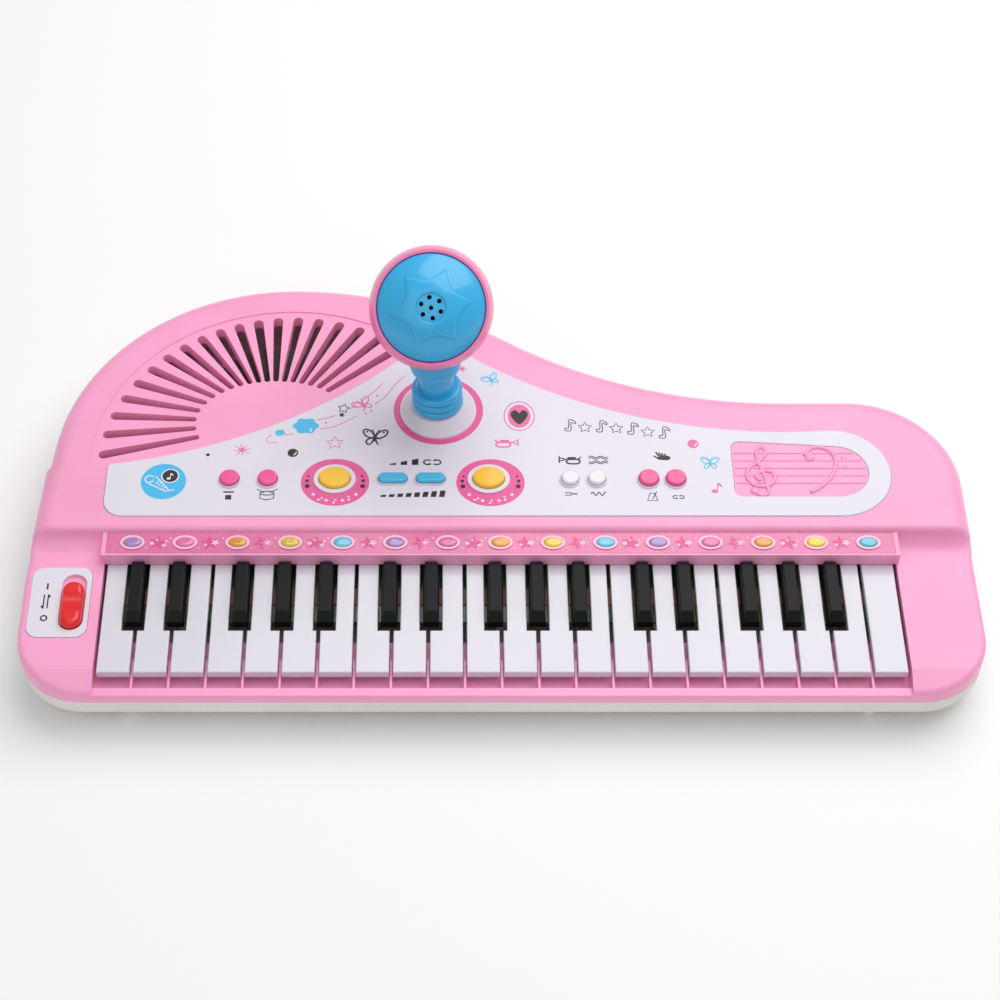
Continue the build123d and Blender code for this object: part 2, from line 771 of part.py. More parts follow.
with BuildPart() as battery_cover:
    with BuildSketch(Plane.XY.offset(foot_height)):
        with Locations((bay_x, bay_mid)):
            Rectangle(bay_width - 2 * cover_gap, bay_length - 2 * cover_gap)
        with Locations((bay_x, bay_mid + bay_length / 2 - cover_gap)):
            SlotOverall(18, 6, mode=Mode.SUBTRACT)
    extrude(amount=cover_thickness)
    front_edges = battery_cover.edges().filter_by(Axis.X)
    front_edges = front_edges.group_by(Axis.Y)[0]
    fillet(front_edges, cover_thickness * 0.45)
    with BuildSketch(Plane.YZ.offset(bay_x)):
        with Locations((bay_foot + cover_pin_y, foot_height + cover_thickness / 2)):
            Circle(cover_pin_r)
    extrude(amount=bay_width / 2 + cover_pin_reach, both=True)
    # arrow grip lines
    with BuildSketch(Plane.XY.offset(foot_height)):
        with Locations((bay_x, bay_mid + bay_length / 4)):
            with GridLocations(1, 3, 1, 4):
                Rectangle(20, 1)
    extrude(amount=0.5, mode=Mode.SUBTRACT)

battery_cover.part.label = "battery_cover"
export_step(battery_cover.part, "parts/battery_cover.step")

# ---------------------------------------------------------------- case screws

with BuildPart() as screws:
    with BuildSketch(Plane.XY.offset(screw_seat - screw_head)):
        with Locations(screw_places):
            Circle(screw_head_r)
    extrude(amount=screw_head)
    with BuildSketch(Plane.XY.offset(screw_seat)):
        with Locations(screw_places):
            Circle(screw_r)
    extrude(amount=screw_length)
    with BuildSketch(Plane.XY.offset(screw_seat - screw_head)):
        with Locations(screw_places):
            Rectangle(3.2, 0.8)
            Rectangle(0.8, 3.2)
    extrude(amount=1.0, mode=Mode.SUBTRACT)

screws.part.label = "screws"
export_step(screws.part, "parts/screws.step")

# ---------------------------------------------------------------- control panel and switch plate

with BuildPart() as face_panels:
    with BuildSketch(Plane.XY.offset(panel_seat)):
        add(panel_sketch(0))
        add(badge_sketch(0), mode=Mode.SUBTRACT)
    extrude(amount=panel_thickness)
    fillet(face_panels.faces().sort_by(Axis.Z)[-1].edges(), panel_edge_r)
    with BuildSketch(Plane.XY.offset(panel_top - panel_edge_r)):
        for name in buttons:
            add(button_sketch(name, buttons[name][4]))
    extrude(amount=panel_edge_r + collar_rise)
    with BuildSketch(Plane.XY.offset(panel_seat)):
        for name in buttons:
            add(button_sketch(name, slide_clearance))
    extrude(amount=panel_thickness + collar_rise, mode=Mode.SUBTRACT)
    # microphone boss with a shallow cone on it
    with BuildSketch(Plane.XY.offset(panel_top - panel_edge_r)):
        with Locations((mic_x, front + mic_y)):
            Circle(mic_boss_r)
    extrude(amount=panel_edge_r + boss_edge)
    with BuildSketch(Plane.XY.offset(panel_top + boss_edge)):
        with Locations((mic_x, front + mic_y)):
            Circle(mic_boss_r - 0.6)
    with BuildSketch(Plane.XY.offset(boss_top + boss_spare)):
        with Locations((mic_x, front + mic_y)):
            Circle(stem_ring_r)
    loft()
    with BuildSketch(mic_plane):
        Circle(mic_boss_r)
    extrude(amount=mic_boss_rise, mode=Mode.SUBTRACT)
    with BuildSketch(mic_plane):
        Circle(stem_spigot_r + slide_clearance)
    extrude(amount=mic_boss_rise + panel_thickness + 3, both=True, mode=Mode.SUBTRACT)
    # switch plate on the left cheek
    with BuildSketch(Plane.XY.offset(plate_seat)):
        with Locations((plate_x, plate_y)):
            RectangleRounded(switch_plate_width, switch_plate_length, switch_plate_r)
        with Locations((knob_x, plate_y)):
            SlotOverall(recess_length, recess_width, rotation=90, mode=Mode.SUBTRACT)
    extrude(amount=panel_thickness)

face_panels.part.label = "face_panels"
export_step(face_panels.part, "parts/face_panels.step")

# ---------------------------------------------------------------- power knob, at its OFF end

knob_y = plate_y - knob_travel / 2
knob_foot = plate_seat + slide_clearance

with BuildPart() as power_knob:
    with BuildSketch(Plane.XY.offset(knob_foot)):
        with Locations((knob_x, knob_y)):
            SlotOverall(knob_length, knob_width, rotation=90)
    extrude(amount=plate_top + knob_rise - knob_foot)
    fillet(power_knob.faces().sort_by(Axis.Z)[-1].edges(), knob_round)
    with BuildSketch(Plane.YZ.offset(knob_x)):
        with Locations((knob_y, plate_top + knob_rise + dent_r - dent_depth)):
            Circle(dent_r)
    extrude(amount=knob_width, both=True, mode=Mode.SUBTRACT)
    with BuildSketch(Plane.XY.offset(cheek_z - wall - 3)):
        with Locations((knob_x, knob_y)):
            Rectangle(knob_stem_width, knob_stem_length)
    extrude(amount=knob_foot - cheek_z + wall + 3)
    with BuildSketch(Plane.XY.offset(cheek_z - wall - 3)):
        with Locations((knob_x, knob_y)):
            Rectangle(knob_stem_width + 3, knob_stem_length)
    extrude(amount=3 - slide_clearance)

power_knob.part.label = "power_knob"
export_step(power_knob.part, "parts/power_knob.step")

# ---------------------------------------------------------------- buttons

for name in buttons:
    skirt_top = panel_seat - skirt_gap
    with BuildPart() as button:
        with BuildSketch(Plane.XY.offset(skirt_top - skirt_height)):
            add(button_sketch(name, 0))
        extrude(amount=panel_top + button_rise - skirt_top + skirt_height)
        crown = button.faces().sort_by(Axis.Z)[-1].edges()
        fillet(crown, min(button_round, 0.4 * buttons[name][3]))
        with BuildSketch(Plane.XY.offset(skirt_top - skirt_height)):
            add(button_sketch(name, button_skirt))
        extrude(amount=skirt_height)
    button.part.label = name
    export_step(button.part, f"parts/{name}.step")

# ---------------------------------------------------------------- indicator strip

with BuildPart() as indicator_strip:
    with BuildSketch(Plane.XY.offset(shelf_z - strip_thickness)):
        with Locations((0, shelf_y + strip_margin + seat_clearance)):
            Rectangle(
                2 * (bed_half - strip_margin - seat_clearance),
                shelf_back - shelf_front - strip_margin - 2 * seat_clearance,
                align=(Align.CENTER, Align.MIN),
            )
    extrude(amount=strip_thickness)
    with BuildSketch(Plane.XY.offset(shelf_z)):
        with Locations((0, shelf_y + (shelf_back - shelf_front + strip_margin) / 2)):
            with GridLocations(lens_pitch, 1, lens_count, 1):
                Ellipse(lens_length / 2, lens_width / 2)
    extrude(amount=lens_rise)

indicator_strip.part.label = "indicator_strip"
export_step(indicator_strip.part, "parts/indicator_strip.step")

# ---------------------------------------------------------------- circuit boards

with BuildPart() as circuit_boards:
    with BuildSketch(Plane.XY.offset(board_top - board_thickness)):
        with Locations((0, front + board_start)):
            Rectangle(2 * (bed_half - 1), board_end - board_start, align=(Align.CENTER, Align.MIN))
    extrude(amount=board_thickness)
    # button board, held under the deck on four posts
    with BuildSketch(Plane.XY.offset(panel_seat - button_drop - board_thickness)):
        with Locations(((window_left + window_right) / 2, button_line)):
            Rectangle(window_right - window_left + 2 * board_margin, 2 * (window_half + board_margin))
    extrude(amount=board_thickness)
    with BuildSketch(Plane.XY.offset(panel_seat - button_drop)):
        with Locations(((window_left + window_right) / 2, button_line)):
            with GridLocations(
                window_right - window_left + board_margin,
                2 * window_half + board_margin,
                2,
                2,
            ):
                Circle(board_margin / 2 - 0.3)
    extrude(amount=deck_under - panel_seat + button_drop)

circuit_boards.part.label = "circuit_boards"
export_step(circuit_boards.part, "parts/circuit_boards.step")

# ---------------------------------------------------------------- speaker

with BuildPart() as speaker:
    with BuildSketch(Plane.XZ.offset(-(fan_y + speaker_dy))):
        with BuildLine():
            Polyline(
                (fan_x, speaker_top - 5),
                (fan_x + 9, speaker_top - 2),
                (fan_x + speaker_r - 5, speaker_top - 0.4),
                (fan_x + speaker_r - 4, speaker_top),
                (fan_x + speaker_r, speaker_top),
                (fan_x + speaker_r, speaker_top - 1.2),
                (fan_x + speaker_r - 4, speaker_top - 1.6),
                (fan_x + magnet_r + 2, speaker_top - speaker_depth + 5),
                (fan_x + magnet_r, speaker_top - speaker_depth + 5),
                (fan_x + magnet_r, speaker_top - speaker_depth),
                (fan_x, speaker_top - speaker_depth),
                (fan_x, speaker_top - 5),
            )
        make_face()
    revolve(axis=Axis((fan_x, fan_y + speaker_dy, 0), (0, 0, 1)))

speaker.part.label = "speaker"
export_step(speaker.part, "parts/speaker.step")

# ---------------------------------------------------------------- microphone

cap_height = math.sqrt(mic_head_r**2 - (mic_cap_r + cap_gap + cap_rim)**2)
dome_radius = (mic_cap_r**2 + cap_rise**2) / (2 * cap_rise)
ring_r = stem_ring_pitch / 2
collar_foot = 3 * stem_ring_pitch + stem_neck_length

with BuildPart() as mic_stem:
    with BuildSketch(mic_section):
        with BuildLine():
            Polyline(
                (0, -spigot_depth),
                (stem_spigot_r + 1.2, -spigot_depth),
                (stem_spigot_r + 1.2, -spigot_depth + 1.5),
                (stem_spigot_r, -spigot_depth + 1.5),
                (stem_spigot_r, seat_gap),
                (stem_ring_r - ring_r, seat_gap),
                (stem_ring_r - ring_r, 3 * stem_ring_pitch),
                (stem_neck_r, 3 * stem_ring_pitch),
                (stem_neck_r, collar_foot - 1),
                (stem_ring_r - 0.4, collar_foot),
                (stem_ring_r, collar_foot + 2),
                (stem_ring_r - 1, mic_reach - mic_head_r + 6),
                (0, mic_reach - mic_head_r + 6),
                (0, -spigot_depth),
            )
        make_face()
        for index in range(3):
            with Locations((stem_ring_r - ring_r, (index + 0.5) * stem_ring_pitch + seat_gap)):
                Circle(ring_r)
    revolve(axis=Axis(mic_plane.origin, mic_plane.z_dir))
    with Locations(head_centre):
        Sphere(mic_head_r, mode=Mode.SUBTRACT)

mic_stem.part.label = "mic_stem"
export_step(mic_stem.part, "parts/mic_stem.step")

with BuildPart() as mic_shell:
    with BuildSketch(head_section) as shell_section:
        Circle(mic_head_r)
        Circle(mic_head_r - shell_wall, mode=Mode.SUBTRACT)
        with Locations((0, cap_height)):
            Rectangle(3 * mic_head_r, 3 * mic_head_r, align=(Align.CENTER, Align.MIN), mode=Mode.SUBTRACT)
        with Locations((0, cap_height - cap_seat)):
            Rectangle(mic_cap_r + cap_gap, 2 * cap_seat, align=(Align.MIN, Align.MIN), mode=Mode.SUBTRACT)
        with Locations((mic_cap_r - shell_wall, cap_height - cap_seat)):
            Rectangle(2 * shell_wall, shell_wall, align=(Align.MIN, Align.MAX))
        Rectangle(mic_head_r * 2, mic_head_r * 4, align=(Align.MAX, Align.CENTER), mode=Mode.SUBTRACT)
    revolve(axis=Axis(head_centre, head_plane.z_dir))

mic_shell.part.label = "mic_shell"
export_step(mic_shell.part, "parts/mic_shell.step")

with BuildPart() as mic_grille:
    dome_base = cap_height - 0.6
    with BuildSketch(head_section):
        with BuildLine():
            Polyline(
                (0, dome_base + cap_rise - shell_wall),
                (0, dome_base + cap_rise),
            )
            ThreePointArc(
                (0, dome_base + cap_rise),
                (
                    dome_radius * math.sin(cap_half_angle),
                    dome_base + cap_rise - dome_radius * (1 - math.cos(cap_half_angle)),
                ),
                (mic_cap_r, dome_base),
            )
            Polyline(
                (mic_cap_r, dome_base),
                (mic_cap_r, cap_height - cap_seat),
                (mic_cap_r - shell_wall, cap_height - cap_seat),
                (mic_cap_r - shell_wall, dome_base - 0.8),
            )
            ThreePointArc(
                (mic_cap_r - shell_wall, dome_base - 0.8),
                (
                    (dome_radius - shell_wall) * math.sin(cap_half_angle),
                    dome_base + cap_rise - shell_wall - (dome_radius - shell_wall) * (1 - math.cos(cap_half_angle)),
                ),
                (0, dome_base + cap_rise - shell_wall),
            )
        make_face()
    revolve(axis=Axis(head_centre, head_plane.z_dir))
    with BuildSketch(head_plane.offset(dome_base)):
        Circle(voice_hole_r)
        with PolarLocations(voice_ring_r, 6, start_angle=voice_start):
            Circle(voice_hole_r)
    extrude(amount=2 * cap_rise, mode=Mode.SUBTRACT)

mic_grille.part.label = "mic_grille"
export_step(mic_grille.part, "parts/mic_grille.step")

# ---------------------------------------------------------------- keys

key_low = key_top_z - key_height
white_names = []
black_names = []

for index in range(white_count):
    left, right, rear_left, rear_right = white_key_span(index)
    with BuildPart() as key:
        with BuildSketch(Plane.XY.offset(key_low)):
            with Locations((left, front + key_front)):
                Rectangle(right - left, notch_start - key_front, align=(Align.MIN, Align.MIN))
            with Locations((rear_left, front + notch_start)):
                Rectangle(rear_right - rear_left, pivot_y - notch_start, align=(Align.MIN, Align.MIN))
        extrude(amount=key_height)
        fillet(key.faces().sort_by(Axis.Z)[-1].edges().filter_by(lambda e: e.center().Y < pivot - 1), key_edge_r)
        with BuildSketch(Plane.XY.offset(key_low)):
            with Locations((left + key_wall, front + key_front + key_wall)):
                Rectangle(
                    right - left - 2 * key_wall,
                    notch_start - key_front - 2 * key_wall,
                    align=(Align.MIN, Align.MIN),
                )
            with Locations((rear_left + key_wall, front + notch_start + key_wall)):
                Rectangle(
                    rear_right - rear_left - 2 * key_wall,
                    key_visible_end - notch_start - key_wall,
                    align=(Align.MIN, Align.MIN),
                )
        extrude(amount=key_height - key_skin, mode=Mode.SUBTRACT)
        with BuildSketch(Plane.YZ.offset(rear_left)):
            with Locations((pivot, pivot_z)):
                Circle(pivot_r)
        extrude(amount=rear_right - rear_left)
        with BuildSketch(Plane.XY.offset(plunger_end)):
            with Locations(((rear_left + rear_right) / 2, front + contact_y)):
                Circle(plunger_r)
        extrude(amount=key_top_z - key_skin - plunger_end)
    key_name = "white_key_%02d" % (index + 1)
    white_names.append(key_name)
    key.part.label = key_name
    export_step(key.part, f"parts/{key_name}.step")

for index in range(white_count - 1):
    shift = black_shift[index % 7]
    if shift is None:
        continue
    gap_x = -(white_count * key_pitch - key_gap) / 2 + (index + 1) * key_pitch - key_gap / 2
    centre_x = gap_x + shift
    black_top = key_top_z + black_rise
    tail_top = key_top_z - 0.4
    with BuildPart() as key:
        with BuildSketch(Plane.YZ.offset(centre_x)):
            with BuildLine():
                Polyline(
                    (front + black_front, key_low),
                    (front + black_front, key_top_z),
                    (front + black_front + black_slope, black_top),
                    (front + key_visible_end - 1, black_top),
                    (front + key_visible_end - 1, tail_top),
                    (pivot, tail_top),
                    (pivot, key_low),
                    (front + black_front, key_low),
                )
            make_face()
        extrude(amount=black_width / 2, both=True)
        with BuildSketch(Plane.XZ.offset(-front)):
            with BuildLine():
                Polyline(
                    (centre_x - black_width / 2, key_low),
                    (centre_x + black_width / 2, key_low),
                    (centre_x + black_width / 2, key_top_z - 1),
                    (centre_x + black_top_width / 2, black_top),
                    (centre_x - black_top_width / 2, black_top),
                    (centre_x - black_width / 2, key_top_z - 1),
                    (centre_x - black_width / 2, key_low),
                )
            make_face()
        extrude(amount=-2 * pivot_y, mode=Mode.INTERSECT)
        fillet(key.faces().sort_by(Axis.Z)[-1].edges(), key_edge_r)
        with BuildSketch(Plane.YZ.offset(centre_x)):
            with Locations((pivot, pivot_z)):
                Circle(pivot_r)
        extrude(amount=black_width / 2, both=True)
    key_name = "black_key_%02d" % (len(black_names) + 1)
    black_names.append(key_name)
    key.part.label = key_name
    export_step(key.part, f"parts/{key_name}.step")

# ---------------------------------------------------------------- rubber contacts

with BuildPart() as contact_strip:
    with BuildSketch(Plane.XY.offset(board_top)):
        with Locations((0, front + contact_y)):
            Rectangle(2 * (bed_half - 2), contact_width)
    extrude(amount=contact_base)
    with BuildSketch(Plane.XY.offset(board_top + contact_base)):
        for index in range(white_count):
            left, right, rear_left, rear_right = white_key_span(index)
            with Locations(((rear_left + rear_right) / 2, front + contact_y)):
                Circle(dome_r)
            if index < white_count - 1 and black_shift[index % 7] is not None:
                with Locations((right + key_gap / 2 + black_shift[index % 7], front + contact_y)):
                    Circle(dome_r)
    extrude(amount=dome_top - board_top - contact_base, taper=12)

contact_strip.part.label = "contact_strip"
export_step(contact_strip.part, "parts/contact_strip.step")
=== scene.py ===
import json
import math

import bmesh
import bpy
from mathutils import Matrix, Vector
from mathutils.geometry import tessellate_polygon


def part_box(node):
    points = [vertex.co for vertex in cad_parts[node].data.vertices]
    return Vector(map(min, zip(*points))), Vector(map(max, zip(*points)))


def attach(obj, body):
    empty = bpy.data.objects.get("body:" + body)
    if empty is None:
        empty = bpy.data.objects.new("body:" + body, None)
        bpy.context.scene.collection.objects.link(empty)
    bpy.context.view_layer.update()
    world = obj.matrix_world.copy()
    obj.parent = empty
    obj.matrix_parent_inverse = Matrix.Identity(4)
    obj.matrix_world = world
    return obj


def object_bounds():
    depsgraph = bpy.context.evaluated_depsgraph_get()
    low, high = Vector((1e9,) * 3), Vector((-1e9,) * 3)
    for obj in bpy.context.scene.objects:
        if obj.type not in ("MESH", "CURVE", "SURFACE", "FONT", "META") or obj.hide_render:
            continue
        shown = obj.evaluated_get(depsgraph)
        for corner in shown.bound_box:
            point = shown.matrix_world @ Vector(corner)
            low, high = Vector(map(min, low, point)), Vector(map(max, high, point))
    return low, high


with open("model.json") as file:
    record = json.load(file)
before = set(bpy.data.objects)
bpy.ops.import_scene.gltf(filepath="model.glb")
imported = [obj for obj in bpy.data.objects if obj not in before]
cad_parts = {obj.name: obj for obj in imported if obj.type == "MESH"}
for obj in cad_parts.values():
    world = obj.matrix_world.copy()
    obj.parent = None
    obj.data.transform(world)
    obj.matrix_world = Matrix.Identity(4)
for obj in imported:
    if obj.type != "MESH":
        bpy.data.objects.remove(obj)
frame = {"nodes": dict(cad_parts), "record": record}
cad_low, cad_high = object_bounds()
nodes = frame["nodes"]

# The toy keyboard: printed decorations, clefs, lenses, the star on the microphone and what shows inside.
# Places on the case are (x, y) in millimetres: x from the middle, y from the front edge.

MM = 0.001
FRONT = cad_low[1]
PRINT = 0.07                # how far a print stands above what it is printed on, in mm
PRINT_STEP = 0.004          # keeps overlapping shapes of one print apart
PRINT_ROOT = 0.1            # how far a print reaches into what it is printed on


# ---------------------------------------------------------------- materials

def tint(red, green, blue):
    """A display colour of 0 to 255 as linear light."""
    return tuple(((c / 255 + 0.055) / 1.055) ** 2.4 if c > 10 else c / 3295 for c in (red, green, blue))


def plastic(name, colour, rough=0.35, mottle=0.05, grain=1400.0, relief=0.02, coat=0.0):
    """Moulded plastic: faint flow clouding, fine surface grain and uneven gloss."""
    material = bpy.data.materials.new(name)
    material.use_nodes = True
    tree, links = material.node_tree.nodes, material.node_tree.links
    shader = tree["Principled BSDF"]
    place = tree.new("ShaderNodeTexCoord")
    cloud = tree.new("ShaderNodeTexNoise")
    cloud.inputs["Scale"].default_value = 22
    cloud.inputs["Detail"].default_value = 4
    links.new(place.outputs["Object"], cloud.inputs["Vector"])
    ramp = tree.new("ShaderNodeValToRGB")
    for end, spot, share in ((0, 0.3, 1 - mottle), (1, 0.7, 1 + mottle)):
        ramp.color_ramp.elements[end].position = spot
        ramp.color_ramp.elements[end].color = (*(min(1, c * share) for c in colour), 1)
    links.new(cloud.outputs["Fac"], ramp.inputs["Fac"])
    links.new(ramp.outputs["Color"], shader.inputs["Base Color"])
    gloss = tree.new("ShaderNodeMapRange")
    gloss.inputs["To Min"].default_value = rough - 0.06
    gloss.inputs["To Max"].default_value = rough + 0.06
    links.new(cloud.outputs["Fac"], gloss.inputs["Value"])
    links.new(gloss.outputs["Result"], shader.inputs["Roughness"])
    fine = tree.new("ShaderNodeTexNoise")
    fine.inputs["Scale"].default_value = grain
    links.new(place.outputs["Object"], fine.inputs["Vector"])
    bump = tree.new("ShaderNodeBump")
    bump.inputs["Strength"].default_value = 0.5
    bump.inputs["Distance"].default_value = relief * MM
    links.new(fine.outputs["Fac"], bump.inputs["Height"])
    links.new(bump.outputs["Normal"], shader.inputs["Normal"])
    if coat:
        shader.inputs["Coat Weight"].default_value = coat
        shader.inputs["Coat Roughness"].default_value = 0.08
    return material


def overlay(material, pattern, start, end, colour):
    """Lays a second colour over a plastic where a pattern runs from start to end."""
    tree, links = material.node_tree.nodes, material.node_tree.links
    edge = tree.new("ShaderNodeMapRange")
    edge.inputs["From Min"].default_value = start
    edge.inputs["From Max"].default_value = end
    links.new(pattern, edge.inputs["Value"])
    mix = tree.new("ShaderNodeMix")
    mix.data_type = "RGBA"
    mix.inputs["B"].default_value = (*colour, 1)
    links.new(edge.outputs["Result"], mix.inputs["Factor"])
    links.new(tree["Color Ramp"].outputs["Color"], mix.inputs["A"])
    links.new(mix.outputs["Result"], tree["Principled BSDF"].inputs["Base Color"])
    return material


def circuit(name):
    """Green lacquered board with darker bare stretches and copper tracks across it."""
    material = plastic(name, tint(40, 120, 70), rough=0.3, mottle=0.15, coat=0.3)
    tree, links = material.node_tree.nodes, material.node_tree.links
    wave = tree.new("ShaderNodeTexWave")
    wave.bands_direction = "X"
    wave.inputs["Scale"].default_value = 95
    wave.inputs["Distortion"].default_value = 3
    wave.inputs["Detail"].default_value = 0
    links.new(tree["Texture Coordinate"].outputs["Object"], wave.inputs["Vector"])
    return overlay(material, wave.outputs["Fac"], 0.55, 0.62, tint(120, 165, 110))


def strip_print(name):
    """Printed translucent strip: pale pink with darker clouds and fine specks."""
    material = plastic(name, tint(226, 118, 165), rough=0.22, mottle=0.12, coat=0.5)
    tree, links = material.node_tree.nodes, material.node_tree.links
    specks = tree.new("ShaderNodeTexVoronoi")
    specks.inputs["Scale"].default_value = 420
    links.new(tree["Texture Coordinate"].outputs["Object"], specks.inputs["Vector"])
    return overlay(material, specks.outputs["Distance"], 0.16, 0.05, tint(245, 180, 210))


PINK = tint(254, 166, 207)
finish = {
    "case_pink": plastic("case_pink", PINK, rough=0.34),
    "tray_white": plastic("tray_white", tint(232, 228, 222), rough=0.45),
    "panel_white": plastic("panel_white", tint(228, 224, 234), rough=0.36, mottle=0.015),
    "key_white": plastic("key_white", tint(222, 219, 228), rough=0.22, mottle=0.015, coat=0.3),
    "key_black": plastic("key_black", tint(14, 14, 17), rough=0.4),
    "button_pink": plastic("button_pink", tint(244, 86, 150), rough=0.28, coat=0.3),
    "button_yellow": plastic("button_yellow", tint(252, 196, 36), rough=0.28, coat=0.3),
    "button_blue": plastic("button_blue", tint(70, 188, 230), rough=0.28, coat=0.3),
    "button_white": plastic("button_white", tint(232, 230, 236), rough=0.28, coat=0.3),
    "knob_red": plastic("knob_red", tint(232, 26, 28), rough=0.28, coat=0.3),
    "mic_blue": plastic("mic_blue", tint(52, 180, 235), rough=0.25, mottle=0.03, coat=0.3),
    "mic_pink": plastic("mic_pink", tint(246, 128, 178), rough=0.3, mottle=0.03, coat=0.2),
    "strip_pink": strip_print("strip_pink"),
    "board_green": circuit("board_green"),
    "contact_rubber": plastic("contact_rubber", tint(196, 150, 140), rough=0.7),
    "speaker_black": plastic("speaker_black", tint(52, 48, 50), rough=0.6, mottle=0.2, grain=900, relief=0.1),
    "screw_steel": plastic("screw_steel", tint(180, 180, 182), rough=0.3),
}
for slot, socket, value in (("screw_steel", "Metallic", 1), ("key_black", "Specular IOR Level", 0.2)):
    finish[slot].node_tree.nodes["Principled BSDF"].inputs[socket].default_value = value

ink = {
    "magenta": plastic("ink_magenta", tint(235, 92, 158), rough=0.4, mottle=0.03),
    "black": plastic("ink_black", tint(36, 34, 40), rough=0.45, mottle=0.1),
    "pink": plastic("ink_pink", tint(232, 112, 162), rough=0.4, mottle=0.05),
    "blue": plastic("ink_blue", tint(72, 190, 240), rough=0.4, mottle=0.05),
    "white": plastic("ink_white", tint(240, 236, 244), rough=0.4, mottle=0.02),
    "rose": plastic("ink_rose", tint(222, 78, 138), rough=0.35, mottle=0.05, coat=0.3),
    "pale": plastic("ink_pale", tint(250, 196, 220), rough=0.35, mottle=0.05, coat=0.3),
}


def paint_frame():
    """Each CAD node takes the finish of its material slot."""
    slot_of = {part["node"]: part["material_slot"] for part in frame["record"]["subparts"]}
    for name, piece in nodes.items():
        for holder in piece.material_slots:
            holder.material = finish[slot_of[name]]


# ---------------------------------------------------------------- shapes, as closed outlines in mm

def ellipse(a, b, x=0.0, y=0.0, count=40):
    steps = [2 * math.pi * i / count for i in range(count)]
    return [(x + a * math.cos(t), y + b * math.sin(t)) for t in steps]


def star(points, outer, inner, turn=90.0):
    corners = []
    for i in range(2 * points):
        angle = math.radians(turn + 180 * i / points)
        reach = inner if i % 2 else outer
        corners.append((reach * math.cos(angle), reach * math.sin(angle)))
    return corners


def smooth(points, closed=False, steps=7):
    """A Catmull-Rom curve through the points."""
    count = len(points)
    result = []
    for i in range(count if closed else count - 1):
        a, b, c, d = (
            points[(i + k) % count] if closed else points[min(max(i + k, 0), count - 1)]
            for k in (-1, 0, 1, 2)
        )
        for step in range(steps):
            t = step / steps
            result.append(tuple(
                0.5 * (2 * q + (r - p) * t
                       + (2 * p - 5 * q + 4 * r - s) * t**2
                       + (3 * q - p - 3 * r + s) * t**3)
                for p, q, r, s in zip(a, b, c, d)
            ))
    if not closed:
        result.append(tuple(points[-1]))
    return result


def stroke(points, width, closed=False):
    """The loops of a drawn line of that width."""
    count = len(points)
    left, right = [], []
    for i, (x, y) in enumerate(points):
        before = points[i - 1] if closed or i else points[i]
        after = points[(i + 1) % count] if closed or i < count - 1 else points[i]
        dx, dy = after[0] - before[0], after[1] - before[1]
        size = math.hypot(dx, dy) or 1
        nx, ny = -dy / size * width / 2, dx / size * width / 2
        left.append((x + nx, y + ny))
        right.append((x - nx, y - ny))
    return [left, right] if closed else [left + right[::-1]]


def moved(loops, x, y, turn=0.0, size=1.0):
    c, s = math.cos(math.radians(turn)) * size, math.sin(math.radians(turn)) * size
    return [[(x + c * u - s * v, y + s * u + c * v) for u, v in loop] for loop in loops]


# Each drawing below is a list of shapes; a shape is an outline followed by its holes.

def note(x, y, size=1.0, turn=0.0):
    shapes = [
        [ellipse(1.5, 1.1, 0, 0, 20)],
        [[(1.0, 0.2), (1.5, 0.2), (1.5, 5.0), (1.0, 5.0)]],
        [smooth([(1.2, 5.2), (3.0, 4.0), (3.4, 2.4), (2.7, 3.2), (1.2, 3.8)], closed=True)],
    ]
    return [moved(shape, x, y, turn, size) for shape in shapes]


def butterfly(x, y, size=1.0, turn=0.0, line=0.55):
    """Four looped wings, a body and two feelers."""
    shapes = [[ellipse(0.45, 1.7, 0, -0.3, 16)]]
    for side in (-1, 1):
        upper = [(0.3, 0.4), (1.4, 2.6), (3.4, 3.6), (4.3, 2.6), (3.4, 0.8), (1.6, -0.2)]
        lower = [(0.4, -0.5), (2.0, -0.7), (2.9, -2.0), (2.2, -3.2), (1.1, -2.7)]
        for wing in (upper, lower):
            shapes.append(stroke(smooth([(side * u, v) for u, v in wing], closed=True), line, closed=True))
        feeler = [(side * 0.2, 1.2), (side * 0.5, 2.3), (side * 1.1, 3.2)]
        shapes.append(stroke(smooth(feeler), 0.28))
        shapes.append([ellipse(0.32, 0.32, side * 1.1, 3.3, 12)])
        shapes.append([ellipse(0.4, 0.4, side * 2.9, 2.5, 12)])
    return [moved(shape, x, y, turn, size) for shape in shapes]


def trumpet(x, y, size=1.0, flip=1, line=0.45):
    """A horn with its bell at one end and one long loop of tube."""
    bell = [(-3.9, 2.0), (-3.6, 0.9), (-2.2, 0.5), (-2.2, -0.1), (-3.6, -0.5), (-3.9, -1.6)]
    tube = [(-2.0, 0.2), (2.6, 0.2), (3.5, -0.5), (2.8, -1.7), (-0.4, -1.7), (-1.3, -0.9), (-0.9, 0.1)]
    shapes = [
        stroke(bell, line, closed=True),
        stroke(smooth(tube), line * 1.4),
        [[(-1.1, 0.6), (1.9, 0.6), (2.4, 1.3), (-0.7, 1.3)]],
        [[(3.0, 0.3), (4.2, 1.2), (3.9, 1.5), (2.6, 0.6)]],
    ]
    return [moved([[(flip * u, v) for u, v in loop] for loop in shape], x, y, 0, size) for shape in shapes]


def loop_arrows(x, y, size=1.0):
    """Two open hooks, one pointing each way."""
    shapes = []
    for turn in (0, 180):
        hook = smooth([(-0.5, 1.0), (-2.4, 1.0), (-3.2, 0.0), (-2.4, -1.0), (-1.2, -1.0)])
        shapes.append(moved(stroke(hook, 0.55), 0, 0, turn))
        shapes.append(moved([[(-1.4, -1.6), (-0.2, -0.9), (-1.3, -0.4)]], 0, 0, turn))
    return [moved(shape, x, y, 0, size) for shape in shapes]


